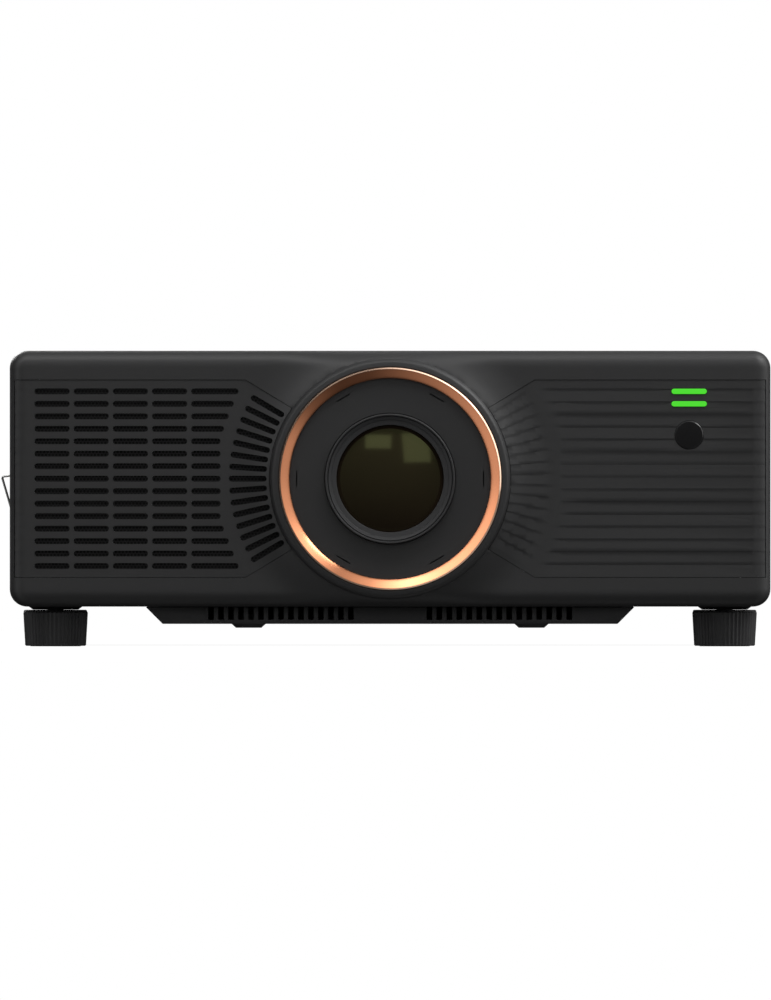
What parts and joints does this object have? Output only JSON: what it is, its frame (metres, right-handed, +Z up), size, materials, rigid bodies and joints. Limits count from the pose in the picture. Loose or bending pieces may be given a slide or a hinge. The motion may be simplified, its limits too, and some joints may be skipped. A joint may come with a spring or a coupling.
{
  "type": "projector",
  "caption": "Wide black installation projector: central shift lens in a copper ring, slotted intake grille, louvred panel with status bars, screw feet.",
  "frame": {"origin": "middle of the base tray's flat underside", "axes": "+X to the right of someone facing the lens, +Y from the lens towards the sockets at the back, +Z up; the lens looks along -Y"},
  "size_m": [0.509, 0.4845, 0.1944],
  "materials": {
    "case_black": "fine spark-eroded texture, satin black",
    "soft_black": "matt black",
    "rubber": "matt",
    "dark_metal": "powder coated",
    "aluminium": "cast and machined",
    "steel": "plated",
    "copper": "copper-coloured anodised, turned",
    "lens_glass": "coated optical glass",
    "dark_window": "dark tinted, polished",
    "green_light": "frosted light pipe, lit",
    "circuit_board": "solder-resist green"
  },
  "bodies": {
    "housing": {"lower_case": "case_black", "top_cover": "case_black", "front_bezel": "case_black", "left_grille": "case_black", "right_panel": "case_black", "grille_mesh": "dark_metal", "rear_panel": "dark_metal", "base_tray": "soft_black", "lens_trim_ring": "copper", "status_light_upper": "green_light", "status_light_lower": "green_light", "ir_window": "dark_window", "lens_mount_plate": "dark_metal", "engine_housing": "dark_metal", "laser_module": "aluminium", "laser_heatsink": "aluminium", "phosphor_motor": "dark_metal", "imager_board": "circuit_board", "power_supply": "aluminium", "main_board": "circuit_board", "intake_fan_frame": "soft_black", "exhaust_fan_1_frame": "soft_black", "exhaust_fan_2_frame": "soft_black", "hdmi_port_1": "steel", "hdmi_port_2": "steel", "usb_port": "steel", "lan_port": "steel", "serial_port": "steel", "ac_inlet": "soft_black"},
    "foot_sole_front_left": {"foot_sole_front_left": "rubber"},
    "foot_knob_front_left": {"foot_knob_front_left": "soft_black"},
    "foot_sole_front_right": {"foot_sole_front_right": "rubber"},
    "foot_knob_front_right": {"foot_knob_front_right": "soft_black"},
    "foot_sole_rear_left": {"foot_sole_rear_left": "rubber"},
    "foot_knob_rear_left": {"foot_knob_rear_left": "soft_black"},
    "foot_sole_rear_right": {"foot_sole_rear_right": "rubber"},
    "foot_knob_rear_right": {"foot_knob_rear_right": "soft_black"},
    "shift_carriage": {"shift_carriage": "aluminium"},
    "lens": {"lens_holder": "dark_metal", "lens_baffle": "case_black", "lens_barrel": "soft_black", "lens_retaining_ring": "soft_black", "front_lens": "lens_glass", "focus_motor": "dark_metal"},
    "focus_gear": {"focus_gear": "soft_black"},
    "focus_pinion": {"focus_pinion": "aluminium"},
    "intake_fan_rotor": {"intake_fan_rotor": "case_black"},
    "exhaust_fan_1_rotor": {"exhaust_fan_1_rotor": "case_black"},
    "exhaust_fan_2_rotor": {"exhaust_fan_2_rotor": "case_black"},
    "phosphor_wheel": {"phosphor_wheel": "steel"},
    "plug_clip": {"plug_clip": "steel"},
    "power_switch": {"power_switch": "case_black"},
    "power_button": {"power_button": "soft_black"},
    "source_button": {"source_button": "soft_black"},
    "menu_button": {"menu_button": "soft_black"},
    "ok_button": {"ok_button": "soft_black"},
    "up_button": {"up_button": "soft_black"},
    "down_button": {"down_button": "soft_black"},
    "left_button": {"left_button": "soft_black"},
    "right_button": {"right_button": "soft_black"}
  },
  "joints": [
    {"name": "foot_height_front_left", "type": "slide", "parent": "housing", "child": "foot_sole_front_left", "axis": [0, 0, -1], "range_m": [0, 0.012]},
    {"name": "foot_turn_front_left", "type": "hinge", "parent": "foot_sole_front_left", "child": "foot_knob_front_left", "pos_m": [-0.2202, -0.185, 0], "axis": [0, 0, -1], "range_deg": [0, 4320]},
    {"name": "foot_height_front_right", "type": "slide", "parent": "housing", "child": "foot_sole_front_right", "axis": [0, 0, -1], "range_m": [0, 0.012]},
    {"name": "foot_turn_front_right", "type": "hinge", "parent": "foot_sole_front_right", "child": "foot_knob_front_right", "pos_m": [0.2202, -0.185, 0], "axis": [0, 0, -1], "range_deg": [0, 4320]},
    {"name": "foot_height_rear_left", "type": "slide", "parent": "housing", "child": "foot_sole_rear_left", "axis": [0, 0, -1], "range_m": [0, 0.012]},
    {"name": "foot_turn_rear_left", "type": "hinge", "parent": "foot_sole_rear_left", "child": "foot_knob_rear_left", "pos_m": [-0.2237, 0.185, 0], "axis": [0, 0, -1], "range_deg": [0, 4320]},
    {"name": "foot_height_rear_right", "type": "slide", "parent": "housing", "child": "foot_sole_rear_right", "axis": [0, 0, -1], "range_m": [0, 0.012]},
    {"name": "foot_turn_rear_right", "type": "hinge", "parent": "foot_sole_rear_right", "child": "foot_knob_rear_right", "pos_m": [0.2237, 0.185, 0], "axis": [0, 0, -1], "range_deg": [0, 4320]},
    {"name": "lens_shift_vertical", "type": "slide", "parent": "housing", "child": "shift_carriage", "axis": [0, 0, 1], "range_m": [-0.004, 0.004]},
    {"name": "lens_shift_horizontal", "type": "slide", "parent": "shift_carriage", "child": "lens", "axis": [1, 0, 0], "range_m": [-0.003, 0.003]},
    {"name": "focus_ring_turn", "type": "hinge", "parent": "lens", "child": "focus_gear", "pos_m": [0, -0.18, 0.0955], "axis": [0, 1, 0], "range_deg": [-40, 40]},
    {"name": "focus_pinion_turn", "type": "hinge", "parent": "lens", "child": "focus_pinion", "pos_m": [0.05171, -0.18, 0.13889], "axis": [0, 1, 0], "range_deg": [-141, 141]},
    {"name": "intake_fan_spin", "type": "hinge", "parent": "housing", "child": "intake_fan_rotor", "pos_m": [-0.1755, 0, 0.0955], "axis": [0, 1, 0], "continuous": true},
    {"name": "exhaust_fan_1_spin", "type": "hinge", "parent": "housing", "child": "exhaust_fan_1_rotor", "pos_m": [0.165, 0, 0.0955], "axis": [0, 1, 0], "continuous": true},
    {"name": "exhaust_fan_2_spin", "type": "hinge", "parent": "housing", "child": "exhaust_fan_2_rotor", "pos_m": [0.04, 0, 0.0955], "axis": [0, 1, 0], "continuous": true},
    {"name": "phosphor_wheel_spin", "type": "hinge", "parent": "housing", "child": "phosphor_wheel", "pos_m": [0, 0, 0.0955], "axis": [0, 1, 0], "continuous": true},
    {"name": "plug_clip_swing", "type": "hinge", "parent": "housing", "child": "plug_clip", "pos_m": [-0.2509, 0.091, 0.0709], "axis": [0, -1, 0], "range_deg": [0, 110]},
    {"name": "power_switch_rock", "type": "hinge", "parent": "housing", "child": "power_switch", "pos_m": [-0.2458, 0.124, 0.0709], "axis": [0, 0, 1], "range_deg": [-14, 0]},
    {"name": "power_button_press", "type": "slide", "parent": "housing", "child": "power_button", "axis": [0, -1, 0], "range_m": [0, 0.0008], "stiffness_N_per_m": 600},
    {"name": "source_button_press", "type": "slide", "parent": "housing", "child": "source_button", "axis": [0, -1, 0], "range_m": [0, 0.0008], "stiffness_N_per_m": 600},
    {"name": "menu_button_press", "type": "slide", "parent": "housing", "child": "menu_button", "axis": [0, -1, 0], "range_m": [0, 0.0008], "stiffness_N_per_m": 600},
    {"name": "ok_button_press", "type": "slide", "parent": "housing", "child": "ok_button", "axis": [0, -1, 0], "range_m": [0, 0.0008], "stiffness_N_per_m": 600},
    {"name": "up_button_press", "type": "slide", "parent": "housing", "child": "up_button", "axis": [0, -1, 0], "range_m": [0, 0.0008], "stiffness_N_per_m": 600},
    {"name": "down_button_press", "type": "slide", "parent": "housing", "child": "down_button", "axis": [0, -1, 0], "range_m": [0, 0.0008], "stiffness_N_per_m": 600},
    {"name": "left_button_press", "type": "slide", "parent": "housing", "child": "left_button", "axis": [0, -1, 0], "range_m": [0, 0.0008], "stiffness_N_per_m": 600},
    {"name": "right_button_press", "type": "slide", "parent": "housing", "child": "right_button", "axis": [0, -1, 0], "range_m": [0, 0.0008], "stiffness_N_per_m": 600}
  ],
  "couplings": [
    {"joint": "foot_height_front_left", "follows": "foot_turn_front_left", "m_per_rad": 0.00015915},
    {"joint": "foot_height_front_right", "follows": "foot_turn_front_right", "m_per_rad": 0.00015915},
    {"joint": "foot_height_rear_left", "follows": "foot_turn_rear_left", "m_per_rad": 0.00015915},
    {"joint": "foot_height_rear_right", "follows": "foot_turn_rear_right", "m_per_rad": 0.00015915},
    {"joint": "focus_pinion_turn", "follows": "focus_ring_turn", "ratio": -3.5}
  ]
}
